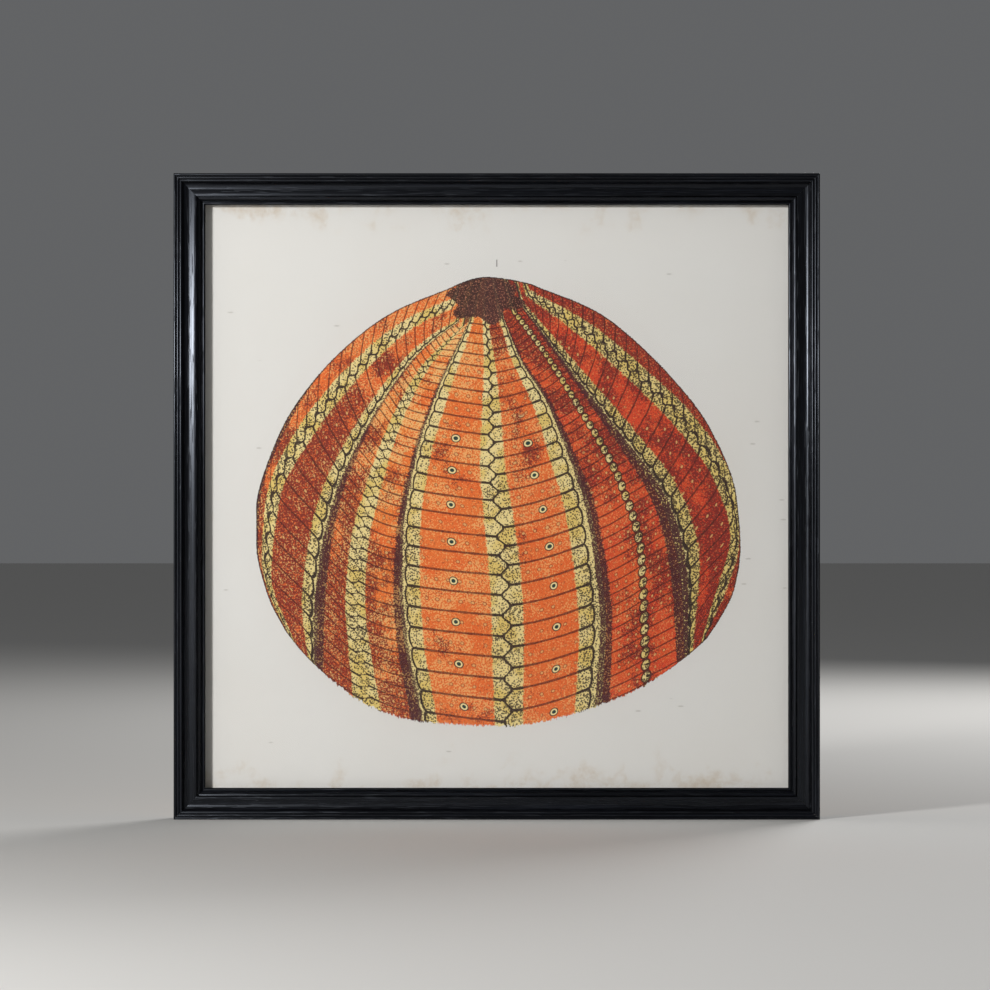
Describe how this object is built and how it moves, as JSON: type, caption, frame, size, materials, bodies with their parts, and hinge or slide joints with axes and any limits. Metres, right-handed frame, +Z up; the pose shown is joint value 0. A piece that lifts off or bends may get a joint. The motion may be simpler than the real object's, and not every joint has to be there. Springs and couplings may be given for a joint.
{
  "type": "framed art print",
  "caption": "Square wall-hung art print of a sea urchin shell, glazed, in a black moulded wood frame, with strap hangers and D-rings on its back.",
  "frame": {"origin": "middle of the whole object: the middle of the square frame, halfway between the front of the moulding and the back of the bumpers", "axes": "+X to the right as seen from the room, +Y from the room towards the wall, +Z up"},
  "size_m": [0.508, 0.027, 0.508],
  "materials": {
    "black_wood": "open-grained wood stained black, satin, with the grain raised along each rail",
    "clear_glass": "clear picture glass, polished",
    "black_spacer": "matt black extruded strip",
    "art_paper": "matt aged paper with a printed drawing in orange, yellow and dark brown ink",
    "backing_board": "raw fibreboard",
    "kraft_paper": "matt brown kraft paper, glued down and lightly creased",
    "zinc_steel": "bright zinc plate",
    "nail_steel": "plain blued steel",
    "bumper_rubber": "matt black rubber"
  },
  "bodies": {
    "frame": {"rail_bottom": "black_wood", "spacer_bottom": "black_spacer", "point_bottom_1": "nail_steel", "point_bottom_2": "nail_steel", "point_bottom_3": "nail_steel", "rail_right": "black_wood", "spacer_right": "black_spacer", "point_right_1": "nail_steel", "point_right_2": "nail_steel", "point_right_3": "nail_steel", "rail_top": "black_wood", "spacer_top": "black_spacer", "point_top_1": "nail_steel", "point_top_2": "nail_steel", "point_top_3": "nail_steel", "rail_left": "black_wood", "spacer_left": "black_spacer", "point_left_1": "nail_steel", "point_left_2": "nail_steel", "point_left_3": "nail_steel", "v_nail_bottom_left_1": "nail_steel", "v_nail_bottom_left_2": "nail_steel", "bumper_bottom_left": "bumper_rubber", "v_nail_top_left_1": "nail_steel", "v_nail_top_left_2": "nail_steel", "bumper_top_left": "bumper_rubber", "v_nail_top_right_1": "nail_steel", "v_nail_top_right_2": "nail_steel", "bumper_top_right": "bumper_rubber", "v_nail_bottom_right_1": "nail_steel", "v_nail_bottom_right_2": "nail_steel", "bumper_bottom_right": "bumper_rubber", "glazing": "clear_glass", "print_sheet": "art_paper", "backing_board": "backing_board", "dust_cover": "kraft_paper", "hanger_strap_left": "zinc_steel", "screw_left_upper": "zinc_steel", "screw_left_lower": "zinc_steel", "hanger_strap_right": "zinc_steel", "screw_right_upper": "zinc_steel", "screw_right_lower": "zinc_steel"},
    "ring_left": {"d_ring_left": "zinc_steel"},
    "ring_right": {"d_ring_right": "zinc_steel"}
  },
  "joints": [
    {"name": "left_ring_swivel", "type": "hinge", "parent": "frame", "child": "ring_left", "pos_m": [-0.2446, 0.0112, 0.11], "axis": [-1, 0, 0], "range_deg": [0, 184]},
    {"name": "right_ring_swivel", "type": "hinge", "parent": "frame", "child": "ring_right", "pos_m": [0.2446, 0.0112, 0.11], "axis": [-1, 0, 0], "range_deg": [0, 184]}
  ]
}
